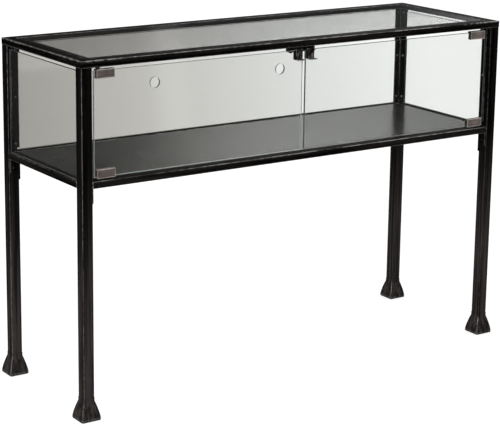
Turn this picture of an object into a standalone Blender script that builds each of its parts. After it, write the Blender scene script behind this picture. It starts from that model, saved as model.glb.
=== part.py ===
"""Display console table: a glass display case in a black steel frame on four legs.

Metres, +Z up. The origin is on the floor in the middle of the four feet, +X runs
along the table and -Y is the side with the two glass doors.
"""

import math

import bmesh
import bpy
from mathutils import Matrix, Vector

# Driving dimensions of the whole table
table_width = 1.110
table_depth = 0.356
table_height = 0.762
shelf_height = 0.512
tube = 0.025
rail_height = 0.015

# Clearances
seat_gap = 0.0003
running_clearance = 0.0001
cut_overrun = 0.002

# Steel tube of the legs and rails
tube_wall = 0.0015
leg_round = 0.0022
rail_round = 0.0014
ledge_reach = 0.014
ledge_thickness = 0.0025
ledge_round = 0.0006

# Cast feet: a low lip, a flare that rounds into it, a short neck and a spigot in the tube
foot_width = 0.046
foot_height = 0.049
foot_lip = 0.0055
foot_round = 0.0038
foot_chamfer = 0.0014
foot_neck = 0.0262
foot_neck_height = 0.007
spigot_length = 0.018
flare_power = 1.3
flare_steps = 8

# Glass
top_glass_thickness = 0.005
pane_thickness = 0.005
glass_edge = 0.0006
top_glass_edge_gap = 0.001
top_glass_corner = 0.002
pane_inset = 0.005
rear_pane_top_gap = 0.004
side_pane_top_gap = 0.008
cable_hole_diameter = 0.026
cable_hole_spacing = 0.350
cable_hole_height_share = 0.506

# Shelf sheet
shelf_thickness = 0.003
shelf_edge_gap = 0.0008
shelf_edge = 0.0004
shelf_corner = 0.005

# Corner strips that hold the fixed panes, with holes for three screws in each flange
strip_thickness = 0.003
strip_bottom_gap = 0.009
strip_corner = 0.004
strip_screw_inset = 0.009
strip_screw_radius = 0.0015
strip_screw_rows = 3

# Angle brackets under the shelf frame, round the inner corner of each leg
bracket_thickness = 0.002
bracket_bend = 0.0026
bracket_drop = 0.048
bracket_tip_rise = 0.018
bolt_drop = 0.021
bolt_radius = 0.003
bolt_head_radius = 0.0052
bolt_head_height = 0.0033
bolt_socket_radius = 0.0023
bolt_socket_depth = 0.002
bolt_reach = 0.006

# Doors
door_inset = 0.008
door_gap_top = 0.008
door_gap_bottom = 0.006
door_gap_side = 0.008
door_meeting_gap = 0.008
pivot_inset = 0.010

# Clips on the door glass: the hinge clips and the pull clips share their plates
clip_front_plate = 0.0025
clip_back_plate = 0.0035
clip_wrap = 0.0022
clip_round = 0.0007
hinge_clip_width = 0.043
hinge_clip_height = 0.019
hinge_clip_setback = 0.005
pull_clip_width = 0.019
pull_clip_height = 0.0235
pull_clip_setback = 0.002
pull_lip_reach = 0.0165
pull_lip_thickness = 0.002
set_screw_radius = 0.002
set_screw_socket_radius = 0.0010
set_screw_socket_depth = 0.0013
set_screw_drop = 0.0085

# Pivots
pin_radius = 0.0025
pin_reach = 0.006
pin_chamfer = 0.0005
collar_radius = 0.0045
bush_radius = 0.004
bush_flange_radius = 0.006
bush_flange_thickness = 0.0015
bush_length = 0.008

# Magnetic catch under the middle of the front top rail
catch_width = 0.070
catch_depth = 0.012
catch_height = 0.013
catch_round = 0.0010
catch_gap = 0.0005
catch_screw_spacing = 0.056
catch_screw_setback = 0.0045
catch_screw_radius = 0.0014
catch_screw_head_radius = 0.0028
catch_screw_head_height = 0.0016
catch_screw_reach = 0.005
magnet_width = 0.011
magnet_height = 0.006
magnet_depth = 0.004
magnet_lift = 0.0012
magnet_spacing = 0.023

# Heights and places worked out from the sizes above
half_width = table_width / 2
half_depth = table_depth / 2
rail_bottom = table_height - rail_height
shelf_rail_bottom = shelf_height - rail_height
leg_x = half_width - tube / 2
leg_y = half_depth - tube / 2
leg_low = foot_height + seat_gap
leg_high = rail_bottom - seat_gap
top_ledge_drop = top_glass_thickness + seat_gap
shelf_ledge_drop = shelf_thickness + seat_gap
pane_back = pane_inset + pane_thickness
pane_low = shelf_height + seat_gap
rear_pane_height = rail_bottom - rear_pane_top_gap - pane_low
side_pane_height = rail_bottom - side_pane_top_gap - pane_low
cable_hole_rise = rear_pane_height * cable_hole_height_share
strip_face = seat_gap + strip_thickness
strip_flange = tube + strip_face - pane_back - seat_gap
strip_low = shelf_height + strip_bottom_gap
strip_high = rail_bottom - seat_gap
door_low = shelf_height + door_gap_bottom
door_high = rail_bottom - door_gap_top
door_height = door_high - door_low
door_width = half_width - tube - door_gap_side - door_meeting_gap / 2
pivot_x = half_width - tube - door_gap_side - pivot_inset
pivot_y = -half_depth + door_inset + pane_thickness / 2
channel_half = pane_thickness / 2 + seat_gap
clip_front = -channel_half - clip_front_plate
clip_back = channel_half + clip_back_plate
clip_edge = seat_gap + clip_wrap
catch_front = pivot_y + clip_back + catch_gap
catch_high = rail_bottom - seat_gap

corners = {
    "front_left": (-1, -1),
    "front_right": (1, -1),
    "rear_left": (-1, 1),
    "rear_right": (1, 1),
}

# Finish of each kind of piece: base colour, metallic, roughness, transmission
finishes = {
    "black_steel": ((0.012, 0.011, 0.010), 0.6, 0.42, 0.0),
    "shelf_steel": ((0.020, 0.020, 0.019), 0.5, 0.25, 0.0),
    "clear_glass": ((0.86, 0.90, 0.88), 0.0, 0.03, 1.0),
    "dark_nickel": ((0.16, 0.14, 0.13), 1.0, 0.35, 0.0),
    "black_clip": ((0.015, 0.014, 0.013), 0.6, 0.35, 0.0),
    "steel_pin": ((0.35, 0.34, 0.33), 1.0, 0.30, 0.0),
    "black_plastic": ((0.018, 0.018, 0.018), 0.0, 0.50, 0.0),
    "magnet": ((0.08, 0.08, 0.08), 0.3, 0.45, 0.0),
    "black_screw": ((0.020, 0.019, 0.018), 0.8, 0.35, 0.0),
}


# Shapes: each is a pair of lists, its points and its faces

def rounded_outline(outline, steps=3):
    """The outline's corners, given as (x, y, radius), with each turned into an arc."""
    points = []
    for index, (x, y, radius) in enumerate(outline):
        corner = Vector((x, y))
        if radius == 0:
            points.append(corner)
            continue
        before = Vector(outline[index - 1][:2]) - corner
        after = Vector(outline[(index + 1) % len(outline)][:2]) - corner
        before.normalize()
        after.normalize()
        half_angle = before.angle(after) / 2
        centre = corner + (before + after).normalized() * radius / math.sin(half_angle)
        start = corner + before * radius / math.tan(half_angle) - centre
        stop = corner + after * radius / math.tan(half_angle) - centre
        turn = start.angle_signed(stop)
        for step in range(steps + 1):
            spoke = start.copy()
            spoke.rotate(Matrix.Rotation(-turn * step / steps, 2))
            points.append(centre + spoke)
    return points


def rounded_square(half, radius, steps=3):
    """A square outline about the origin with round corners."""
    signs = ((-1, -1), (1, -1), (1, 1), (-1, 1))
    return rounded_outline([(half * x, half * y, radius) for x, y in signs], steps)


def loft(rings, closed=False):
    """A skin over rings of points with equal counts; its ends are flat unless closed."""
    count = len(rings[0])
    points = [point for ring in rings for point in ring]
    faces = []
    spans = len(rings) if closed else len(rings) - 1
    for span in range(spans):
        low = span * count
        high = (span + 1) % len(rings) * count
        for index in range(count):
            beside = (index + 1) % count
            faces.append((low + index, low + beside, high + beside, high + index))
    if not closed:
        faces.append(tuple(range(count)))
        faces.append(tuple(range(len(points) - count, len(points))))
    return points, faces


def prism(outline, low, high):
    """A flat outline in X and Y, extruded from one height to another."""
    return loft([[(x, y, height) for x, y in outline] for height in (low, high)])


def turned(profile, sides=12, closed=False):
    """A profile of (radius, height), turned about Z; a ring marked "hex" has six flats."""
    flat_turn = math.pi / 3
    rings = []
    for radius, height, *form in profile:
        ring = []
        for side in range(sides):
            angle = 2 * math.pi * side / sides
            reach = radius
            if form:
                reach *= math.cos(flat_turn / 2) / math.cos(angle % flat_turn - flat_turn / 2)
            ring.append((reach * math.cos(angle), reach * math.sin(angle), height))
        rings.append(ring)
    return loft(rings, closed)


def lists_of(mesh):
    """The points and faces of a bmesh, which is freed."""
    mesh.verts.index_update()
    points = [vertex.co.copy() for vertex in mesh.verts]
    faces = [tuple(vertex.index for vertex in face.verts) for face in mesh.faces]
    mesh.free()
    return points, faces


def block(low, high, radius=0, segments=2):
    """A box between two corners, with all its edges rounded by radius."""
    mesh = bmesh.new()
    bmesh.ops.create_cube(mesh, size=1)
    low = Vector(low)
    high = Vector(high)
    size = high - low
    centre = (low + high) / 2
    for vertex in mesh.verts:
        vertex.co = [centre[i] + vertex.co[i] * size[i] for i in range(3)]
    if radius:
        bmesh.ops.bevel(mesh, geom=mesh.edges[:], offset=radius, segments=segments,
                        profile=0.5, affect="EDGES")
    return lists_of(mesh)


def plate(half_x, half_y, thickness, corner, edge):
    """A flat plate on z = 0 with round corners and chamfered edges."""
    signs = ((-1, -1), (1, -1), (1, 1), (-1, 1))
    rings = []
    for inset, height in ((edge, 0), (0, edge), (0, thickness - edge), (edge, thickness)):
        outline = rounded_outline([((half_x - inset) * x, (half_y - inset) * y, corner - inset)
                                   for x, y in signs])
        rings.append([(x, y, height) for x, y in outline])
    return loft(rings)


def moved(shape, matrix):
    """The shape moved or turned by a matrix."""
    points, faces = shape
    return [matrix @ Vector(point) for point in points], faces


def at(shape, x, y, z):
    """The shape shifted by x, y and z."""
    return moved(shape, Matrix.Translation((x, y, z)))


def turned_to(shape, direction):
    """The shape with its +Z turned to point along a direction."""
    return moved(shape, Vector(direction).to_track_quat("Z", "Y").to_matrix().to_4x4())


def mirrored(shape, x_sign, y_sign=1, z_sign=1):
    """The shape with each axis kept or flipped."""
    return moved(shape, Matrix.Diagonal((x_sign, y_sign, z_sign, 1)))


def joined(shapes):
    """Several shapes as one list of points and faces, still separate bodies."""
    points = []
    faces = []
    for shape_points, shape_faces in shapes:
        offset = len(points)
        points.extend(shape_points)
        faces.extend(tuple(offset + index for index in face) for face in shape_faces)
    return points, faces


# Objects

def finish_material(name, finish):
    """A material of this piece's own, from the table of finishes."""
    colour, metallic, roughness, transmission = finishes[finish]
    material = bpy.data.materials.new(name)
    material.use_nodes = True
    shader = material.node_tree.nodes["Principled BSDF"]
    shader.inputs["Base Color"].default_value = (*colour, 1.0)
    shader.inputs["Metallic"].default_value = metallic
    shader.inputs["Roughness"].default_value = roughness
    shader.inputs["Transmission Weight"].default_value = transmission
    return material


def piece(name, shape, finish, place=(0, 0, 0), turn=0, parent=None):
    """One sub-part: a mesh object with its finish, placed by location and rotation."""
    mesh = bpy.data.meshes.new(name)
    mesh.from_pydata(shape[0], [], shape[1])
    solid = bmesh.new()
    solid.from_mesh(mesh)
    bmesh.ops.recalc_face_normals(solid, faces=solid.faces[:])
    solid.to_mesh(mesh)
    solid.free()
    mesh.materials.append(finish_material(name, finish))
    thing = bpy.data.objects.new(name, mesh)
    bpy.context.scene.collection.objects.link(thing)
    thing.location = place
    thing.rotation_euler = (0, 0, turn)
    thing.parent = parent
    smooth(thing)
    return thing


def smooth(thing):
    """Smooth shading on round surfaces, with sharp edges kept."""
    thing.data.shade_smooth()
    thing.data.set_sharp_from_angle(angle=math.radians(35))


def change(thing, shape, operation):
    """Adds a shape to an object or cuts it away; the shape is in the object's own frame."""
    tool = piece(thing.name + "_tool", shape, "black_steel", parent=thing)
    boolean = thing.modifiers.new(operation.lower(), "BOOLEAN")
    boolean.solver = "EXACT"
    boolean.operation = operation
    boolean.object = tool
    bpy.context.view_layer.update()
    graph = bpy.context.evaluated_depsgraph_get()
    plain = thing.data
    result = bpy.data.meshes.new_from_object(thing.evaluated_get(graph))
    thing.modifiers.clear()
    thing.data = result
    result.materials.clear()
    result.materials.append(plain.materials[0])
    bpy.data.objects.remove(tool)
    smooth(thing)


def cut(thing, shape):
    """Cuts a shape away from an object."""
    change(thing, shape, "DIFFERENCE")


def hole(radius, low, high, sides=12):
    """A round cutter along Z."""
    return turned([(radius, low), (radius, high)], sides)


# Frame: rails, legs and feet

def rail_shape(half_length, ledge_drop, mitred):
    """A rail along X: its outer face at y = 0, its foot at z = 0, its ledge inward.

    A mitred rail meets its neighbours at 45 degrees over its whole width. The
    others end square against the legs, and only their ledges are mitred.
    """
    ledge_high = rail_height - ledge_drop
    ledge_low = ledge_high - ledge_thickness
    ledge_tip = tube + ledge_reach
    tip = rounded_outline([(tube, ledge_low, 0), (ledge_tip, ledge_low, ledge_round),
                           (ledge_tip, ledge_high, ledge_round), (tube, ledge_high, 0)], 1)
    low_side = rounded_outline([(0, rail_height, rail_round), (0, 0, rail_round),
                                (tube, 0, rail_round), (tube, rail_height, rail_round)])
    low_count = len(low_side) * 3 // 4
    outline = low_side[:low_count] + tip + low_side[low_count:]
    points = []
    for side in (-1, 1):
        for y, z in outline:
            mitre = y if mitred else max(0, y - tube)
            points.append((side * (half_length - seat_gap - mitre), y, z))
    count = len(outline)
    faces = [(index, (index + 1) % count, count + (index + 1) % count, count + index)
             for index in range(count)]
    ledge_loop = list(range(low_count, low_count + len(tip)))
    tube_loop = [index for index in range(count) if index not in ledge_loop[1:-1]]
    for loop in (ledge_loop, tube_loop):
        faces.append(tuple(loop))
        faces.append(tuple(count + index for index in loop))
    return points, faces


def make_rails(kind, low, half_x, half_y, ledge_drop, mitred):
    """Four hollow rails in a rectangle; returns them by side."""
    places = {
        "front": (half_x, (0, -half_depth, low), 0),
        "rear": (half_x, (0, half_depth, low), math.pi),
        "left": (half_y, (-half_width, 0, low), -math.pi / 2),
        "right": (half_y, (half_width, 0, low), math.pi / 2),
    }
    rails = {}
    for side, (half_length, place, turn) in places.items():
        shape = rail_shape(half_length, ledge_drop, mitred)
        rail = piece(f"{kind}_{side}", shape, "black_steel", place, turn)
        reach = half_length + cut_overrun
        cut(rail, block((-reach, tube_wall, tube_wall),
                        (reach, tube - tube_wall, rail_height - tube_wall)))
        rails[side] = rail
    return rails


def strip_screw_places():
    """Where the screws of one corner go: (place, direction) with +x and +y inward.

    Places are measured from the leg's centre; the screws point into the leg.
    """
    face = tube / 2 + strip_face
    middle = face - strip_flange / 2
    low = strip_low + strip_screw_inset
    high = strip_high - strip_screw_inset
    places = []
    for row in range(strip_screw_rows):
        height = low + (high - low) * row / (strip_screw_rows - 1)
        places.append(((middle, face, height), (0, -1, 0)))
        places.append(((face, middle, height), (-1, 0, 0)))
    return places


def bolt_face(end):
    """The inner face of a leg that takes its bolt: across X in front and across Y behind."""
    return (1, 0) if end < 0 else (0, 1)


def make_legs():
    """Four square tubes, open at both ends, with the holes for their screws and bolts."""
    bolt_height = shelf_rail_bottom - bolt_drop
    hole_depth = tube_wall + cut_overrun
    for name, (side, end) in corners.items():
        leg = piece(f"leg_{name}", prism(rounded_square(tube / 2, leg_round), leg_low, leg_high),
                    "black_steel", (side * leg_x, end * leg_y, 0))
        cut(leg, prism(rounded_square(tube / 2 - tube_wall, tube_wall, 1),
                       leg_low - cut_overrun, leg_high + cut_overrun))
        x, y = bolt_face(end)
        bolt = turned_to(hole(bolt_radius + seat_gap, -hole_depth, hole_depth), (x, y, 0))
        holes = [at(bolt, x * tube / 2, y * tube / 2, bolt_height)]
        for place, direction in strip_screw_places():
            pilot = hole(strip_screw_radius + seat_gap, 0, strip_face + hole_depth, 8)
            holes.append(at(turned_to(pilot, direction), *place))
        cut(leg, mirrored(joined(holes), -side, -end))


def make_feet():
    """Four cast feet that flare out from the legs, each with a spigot in its leg."""
    foot_half = foot_width / 2
    neck_half = foot_neck / 2
    rings = [(foot_half - foot_chamfer, foot_round - foot_chamfer, 0),
             (foot_half, foot_round, foot_chamfer),
             (foot_half, foot_round, foot_lip)]
    flare_rise = foot_height - foot_neck_height - foot_lip
    for step in range(1, flare_steps + 1):
        share = step / flare_steps
        spread = 1 - share ** flare_power
        half = neck_half + (foot_half - neck_half) * spread
        radius = leg_round + (foot_round - leg_round) * spread
        rings.append((half, radius, foot_lip + flare_rise * share))
    rings.append((neck_half, leg_round, foot_height))
    spigot_half = tube / 2 - tube_wall - seat_gap
    rings.append((spigot_half, tube_wall, foot_height))
    rings.append((spigot_half, tube_wall, foot_height + spigot_length - foot_chamfer))
    rings.append((spigot_half - foot_chamfer, tube_wall, foot_height + spigot_length))
    shape = loft([[(x, y, z) for x, y in rounded_square(half, radius)]
                  for half, radius, z in rings])
    for name, (side, end) in corners.items():
        piece(f"foot_{name}", shape, "black_steel", (side * leg_x, end * leg_y, 0))


# Panes and shelf

def make_top_glass():
    """The flush glass top, which lies on the ledge of the top rails."""
    x = half_width - tube - top_glass_edge_gap
    y = half_depth - tube - top_glass_edge_gap
    piece("top_glass", plate(x, y, top_glass_thickness, top_glass_corner, glass_edge),
          "clear_glass", (0, 0, table_height - top_glass_thickness))


def make_shelf():
    """The steel sheet that lies flush in the shelf rails."""
    x = half_width - tube - shelf_edge_gap
    y = half_depth - tube - shelf_edge_gap
    piece("shelf_panel", plate(x, y, shelf_thickness, shelf_corner, shelf_edge),
          "shelf_steel", (0, 0, shelf_height - shelf_thickness))


def make_fixed_panes():
    """Two side panes and the rear pane with its two cable holes."""
    for name, side in (("left", -1), ("right", 1)):
        y = half_depth - tube - seat_gap
        shape = block((0, -y, 0), (pane_thickness, y, side_pane_height), glass_edge, 1)
        piece(f"side_glass_{name}", mirrored(shape, -side), "clear_glass",
              (side * (half_width - pane_inset), 0, pane_low))
    x = half_width - tube - seat_gap
    shape = block((-x, -pane_thickness, 0), (x, 0, rear_pane_height), glass_edge, 1)
    rear = piece("rear_glass", shape, "clear_glass", (0, half_depth - pane_inset, pane_low))
    cable = turned_to(hole(cable_hole_diameter / 2, -cut_overrun,
                           pane_thickness + cut_overrun, 36), (0, -1, 0))
    for side in (-1, 1):
        cut(rear, at(cable, side * cable_hole_spacing / 2, 0, cable_hole_rise))


# Strips, screws and brackets at the legs

def screw(radius, length, head_radius, head_height, sides=10):
    """A pan-head screw: its head's seat at z = 0, its shank along +Z."""
    socket = head_radius / 2
    return turned([(socket, -head_height / 2), (socket, -head_height),
                   (head_radius - head_height / 2, -head_height),
                   (head_radius, -head_height / 3), (head_radius, 0),
                   (radius, 0), (radius, length)], sides)


def strip_shape():
    """One corner strip about its leg's centre, with +x and +y inward."""
    near = tube / 2 + seat_gap
    far = near + strip_thickness
    tip = far - strip_flange
    outline = [(tip, near), (near, near), (near, tip), (far, tip), (far, far), (tip, far)]
    points, faces = prism(outline, 0, strip_high - strip_low)
    mesh = bmesh.new()
    for point in points:
        mesh.verts.new(point)
    mesh.verts.ensure_lookup_table()
    for face in faces:
        mesh.faces.new([mesh.verts[index] for index in face])
    lower_tips = [edge for edge in mesh.edges
                  if all(vertex.co.z == 0 for vertex in edge.verts)
                  and edge.calc_length() < strip_thickness + seat_gap
                  and min(min(vertex.co[:2]) for vertex in edge.verts) < near - seat_gap]
    bmesh.ops.bevel(mesh, geom=lower_tips, offset=strip_corner, segments=3, profile=0.5,
                    affect="EDGES")
    return lists_of(mesh)


def make_corner_strips():
    """An angle strip inside each corner of the case, with holes for its screws."""
    shape = strip_shape()
    through = hole(strip_screw_radius + seat_gap, -cut_overrun, strip_thickness + cut_overrun, 8)
    holes = joined([at(turned_to(through, direction), x, y, z - strip_low)
                    for (x, y, z), direction in strip_screw_places()])
    for name, (side, end) in corners.items():
        strip = piece(f"corner_strip_{name}", mirrored(shape, -side, -end), "black_steel",
                      (side * leg_x, end * leg_y, strip_low))
        cut(strip, mirrored(holes, -side, -end))


def make_leg_brackets():
    """Angles round the legs under the shelf frame, each with a socket bolt into its leg."""
    high = shelf_rail_bottom - seat_gap
    low = high - bracket_drop
    near = tube / 2 + seat_gap
    far = near + bracket_thickness
    tip = leg_round - tube / 2
    outline = [(tip, near, 0), (near, near, 0), (near, tip, 0),
               (far, tip, 0), (far, far, bracket_bend), (tip, far, 0)]
    shape = prism(rounded_outline(outline), low, high)
    inner = near - seat_gap
    past = tip - cut_overrun
    slant_top = low + bracket_tip_rise * (inner - past) / (inner - tip)
    slant = [(past, low - cut_overrun), (inner, low - cut_overrun), (inner, low),
             (past, slant_top)]
    slant = moved(prism(slant, -far - cut_overrun, -near + seat_gap / 2),
                  Matrix.Rotation(math.pi / 2, 4, "X"))
    slants = [slant, mirrored(moved(slant, Matrix.Rotation(math.pi / 2, 4, "Z")), -1)]
    bolt_z = shelf_rail_bottom - bolt_drop
    shank = bracket_thickness + seat_gap + tube_wall + bolt_reach
    bolt = turned([(bolt_socket_radius, -bolt_head_height + bolt_socket_depth, "hex"),
                   (bolt_socket_radius, -bolt_head_height, "hex"),
                   (bolt_head_radius - bolt_head_height / 2, -bolt_head_height),
                   (bolt_head_radius, -bolt_head_height / 3), (bolt_head_radius, 0),
                   (bolt_radius, 0), (bolt_radius, shank)])
    through = hole(bolt_radius + seat_gap, near - cut_overrun, far + cut_overrun)
    for name, (side, end) in corners.items():
        place = (side * leg_x, end * leg_y, 0)
        x, y = bolt_face(end)
        bracket = piece(f"leg_bracket_{name}", mirrored(shape, -side, -end), "black_steel", place)
        cuts = joined([*slants, at(turned_to(through, (x, y, 0)), 0, 0, bolt_z)])
        cut(bracket, mirrored(cuts, -side, -end))
        seat = far + seat_gap
        placed = at(turned_to(bolt, (-x, -y, 0)), x * seat, y * seat, bolt_z)
        piece(f"bracket_bolt_{name}", mirrored(placed, -side, -end), "black_screw", place)


# Catch and pivots

def make_catch(top_rail):
    """The magnetic catch, its two magnets and the screws that hold it to the rail."""
    housing = piece("catch_housing",
                    block((-catch_width / 2, 0, -catch_height), (catch_width / 2, catch_depth, 0),
                          catch_round, 2),
                    "black_plastic", (0, catch_front, catch_high))
    magnet_low = -catch_height + magnet_lift
    cuts = []
    rail_holes = []
    bolt = screw(catch_screw_radius, catch_height + seat_gap + catch_screw_reach,
                 catch_screw_head_radius, catch_screw_head_height)
    clearance = catch_screw_radius + seat_gap
    for name, side in (("left", -1), ("right", 1)):
        x = side * magnet_spacing / 2
        cuts.append(block((x - magnet_width / 2 - seat_gap, -cut_overrun, magnet_low - seat_gap),
                          (x + magnet_width / 2 + seat_gap, magnet_depth + seat_gap,
                           magnet_low + magnet_height + seat_gap)))
        piece(f"catch_magnet_{name}",
              block((-magnet_width / 2, 0, 0), (magnet_width / 2, magnet_depth, magnet_height)),
              "magnet", (x, catch_front, catch_high + magnet_low))
        x = side * catch_screw_spacing / 2
        through = hole(clearance, -catch_height - cut_overrun, cut_overrun)
        cuts.append(at(through, x, catch_screw_setback, 0))
        piece(f"catch_screw_{name}", bolt, "black_screw",
              (x, catch_front + catch_screw_setback, catch_high - catch_height - seat_gap))
        rail_hole = hole(clearance, -cut_overrun, tube_wall + cut_overrun)
        rail_holes.append(at(rail_hole, x, catch_front + catch_screw_setback + half_depth, 0))
    cut(housing, joined(cuts))
    cut(top_rail, joined(rail_holes))


def make_bushes(top_rail, shelf_rail):
    """Flanged bushes in the front rails that the door pins turn in."""
    bore = pin_radius + running_clearance
    bush = turned([(bore, -seat_gap - bush_flange_thickness),
                   (bush_flange_radius, -seat_gap - bush_flange_thickness),
                   (bush_flange_radius, -seat_gap), (bush_radius, -seat_gap),
                   (bush_radius, bush_length), (bore, bush_length)], 20, closed=True)
    cutter = hole(bush_radius + seat_gap, -cut_overrun, tube_wall + cut_overrun, 20)
    inward = pivot_y + half_depth
    for name, side in (("left", -1), ("right", 1)):
        piece(f"pivot_bush_upper_{name}", bush, "black_plastic",
              (side * pivot_x, pivot_y, rail_bottom))
        piece(f"pivot_bush_lower_{name}", mirrored(bush, 1, 1, -1), "black_plastic",
              (side * pivot_x, pivot_y, shelf_height))
        cut(top_rail, at(cutter, side * pivot_x, inward, 0))
        cut(shelf_rail, at(mirrored(cutter, 1, 1, -1), side * pivot_x, inward, rail_height))


# Doors: +x runs from the pivot towards the meeting edge, z = 0 at the glass edge in a clip

def hinge_clip(name, finish, parent, height, x_sign, z_sign):
    """A clip that wraps an edge of the door glass; the pivot pin goes through its wall."""
    near = hinge_clip_setback - pivot_inset
    far = near + hinge_clip_width
    low = clip_edge - hinge_clip_height
    clip = piece(name, mirrored(block((near, clip_front, low), (far, clip_back, clip_edge),
                                      clip_round), x_sign, 1, z_sign),
                 finish, (0, 0, height), parent=parent)
    cut(clip, mirrored(clip_channel(near, far, low), x_sign, 1, z_sign))
    holes = [hole(pin_radius + seat_gap, 0, clip_edge + cut_overrun, 16),
             at(back_hole(), (near + far) / 2, 0, -set_screw_drop)]
    cut(clip, mirrored(joined(holes), x_sign, 1, z_sign))
    return near, far


def clip_channel(near, far, low):
    """The cutter for the slot of a clip that takes the glass."""
    return block((near - cut_overrun, -channel_half, low - cut_overrun),
                 (far + cut_overrun, channel_half, seat_gap))


def back_hole():
    """The cutter for a set screw in a clip's back plate."""
    return turned_to(hole(set_screw_radius + seat_gap, 0, clip_back + cut_overrun), (0, 1, 0))


def set_screw():
    """A set screw in a clip's back plate, pressing on the glass."""
    shape = turned([(set_screw_radius, channel_half), (set_screw_radius, clip_back),
                    (set_screw_socket_radius, clip_back, "hex"),
                    (set_screw_socket_radius, clip_back - set_screw_socket_depth, "hex")])
    return turned_to(shape, (0, 1, 0))


def pull_clip(name, parent, x_sign):
    """A clip on the meeting corner of the glass with a finger lip along its foot."""
    far = door_width - pivot_inset - pull_clip_setback
    near = far - pull_clip_width
    low = clip_edge - pull_clip_height
    lip_tip = -pane_thickness / 2 - pull_lip_reach
    clip = piece(name, mirrored(block((near, clip_front, low), (far, clip_back, clip_edge),
                                      clip_round), x_sign),
                 "black_clip", (0, 0, door_height), parent=parent)
    lip = block((near, lip_tip, low), (far, clip_front + clip_front_plate / 2,
                                       low + pull_lip_thickness), clip_round, 1)
    change(clip, mirrored(lip, x_sign), "UNION")
    cut(clip, mirrored(clip_channel(near, far, low), x_sign))
    cut(clip, mirrored(at(back_hole(), (near + far) / 2, 0, -set_screw_drop), x_sign))
    return near, far


def pivot_pin(gap):
    """A pin with a collar that fills the gap between its clip and its bush."""
    collar_low = clip_edge + seat_gap
    collar_high = gap - 2 * seat_gap - bush_flange_thickness
    tip = gap + pin_reach
    return turned([(pin_radius, seat_gap), (pin_radius, collar_low), (collar_radius, collar_low),
                   (collar_radius, collar_high), (pin_radius, collar_high),
                   (pin_radius, tip - pin_chamfer), (pin_radius - pin_chamfer, tip)], 20)


def make_door(name, side):
    """A frameless glass door that turns on two pins, under one empty on its pivot axis."""
    x_sign = -side
    pivot = bpy.data.objects.new(f"{name}_door_pivot", None)
    bpy.context.scene.collection.objects.link(pivot)
    pivot.location = (side * pivot_x, pivot_y, door_low)
    glass = block((-pivot_inset, -pane_thickness / 2, 0),
                  (door_width - pivot_inset, pane_thickness / 2, door_height), glass_edge, 1)
    piece(f"{name}_door_glass", mirrored(glass, x_sign), "clear_glass", parent=pivot)
    for level, height, z_sign, gap in (("upper", door_height, 1, door_gap_top),
                                       ("lower", 0, -1, door_gap_bottom)):
        ends = hinge_clip(f"{name}_hinge_clip_{level}", "dark_nickel", pivot, height,
                          x_sign, z_sign)
        piece(f"{name}_pivot_pin_{level}", mirrored(pivot_pin(gap), 1, 1, z_sign), "steel_pin",
              (0, 0, height), parent=pivot)
        piece(f"{name}_clip_screw_{level}", mirrored(set_screw(), x_sign, 1, z_sign),
              "black_screw", (x_sign * sum(ends) / 2, 0, height - z_sign * set_screw_drop),
              parent=pivot)
    ends = pull_clip(f"{name}_pull_clip", pivot, x_sign)
    piece(f"{name}_clip_screw_pull", set_screw(), "black_screw",
          (x_sign * sum(ends) / 2, 0, door_height - set_screw_drop), parent=pivot)


def main():
    for thing in list(bpy.data.objects):
        bpy.data.objects.remove(thing)
    top_rails = make_rails("top_rail", rail_bottom, half_width, half_depth,
                           top_ledge_drop, True)
    shelf_rails = make_rails("shelf_rail", shelf_rail_bottom, half_width - tube,
                             half_depth - tube, shelf_ledge_drop, False)
    make_legs()
    make_feet()
    make_top_glass()
    make_shelf()
    make_fixed_panes()
    make_corner_strips()
    make_leg_brackets()
    make_catch(top_rails["front"])
    make_bushes(top_rails["front"], shelf_rails["front"])
    make_door("left", -1)
    make_door("right", 1)


main()
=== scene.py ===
# %% [markdown]
# # A display console table
#
# A narrow glass case stands on four square legs. The frame is black steel whose edges
# are rubbed back to silver, the top, sides, back and two doors are glass, and the case's
# floor is a dark steel sheet. The main shapes come from a fixed CAD model, so this
# lesson is about light, glass, worn metal and the small pieces that repeat.

# %% Load the fixed model
import math

import bmesh
import bpy
from mathutils import Matrix, Vector


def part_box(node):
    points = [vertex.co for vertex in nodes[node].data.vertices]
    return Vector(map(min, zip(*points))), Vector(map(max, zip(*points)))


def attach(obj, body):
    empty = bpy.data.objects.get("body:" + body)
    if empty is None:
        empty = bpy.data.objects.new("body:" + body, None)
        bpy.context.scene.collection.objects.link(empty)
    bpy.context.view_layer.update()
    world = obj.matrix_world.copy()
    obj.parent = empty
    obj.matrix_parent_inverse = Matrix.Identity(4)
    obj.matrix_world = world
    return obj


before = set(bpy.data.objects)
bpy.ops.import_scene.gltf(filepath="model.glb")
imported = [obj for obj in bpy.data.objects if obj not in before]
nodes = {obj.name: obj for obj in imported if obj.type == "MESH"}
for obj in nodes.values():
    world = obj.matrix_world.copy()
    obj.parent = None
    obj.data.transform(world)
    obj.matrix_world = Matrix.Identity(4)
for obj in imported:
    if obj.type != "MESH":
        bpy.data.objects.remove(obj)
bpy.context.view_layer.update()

print("pieces in the model:", len(nodes))

# %% [markdown]
# Later steps need a few of the frame's sizes. The CAD pieces already have them, so they
# are measured here and not typed in again: a patch of wear or a screw then lands on
# the right edge even if the model changes.

# %% Measure the frame
leg_low, leg_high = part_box("leg_front_right")
leg_centre = (leg_low + leg_high) / 2
tube = leg_high.x - leg_low.x
top_low, top_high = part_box("top_rail_front")
shelf_low, shelf_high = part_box("shelf_rail_front")
outer_x = top_high.x
outer_y = -top_low.y
rail_half = (top_high.z - top_low.z) / 2
top_middle = (top_high.z + top_low.z) / 2
shelf_middle = (shelf_high.z + shelf_low.z) / 2
corners = [(x, y) for x in (-1, 1) for y in (-1, 1)]
print("frame, m:", round(2 * outer_x, 3), round(2 * outer_y, 3), round(top_high.z, 3))

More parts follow.
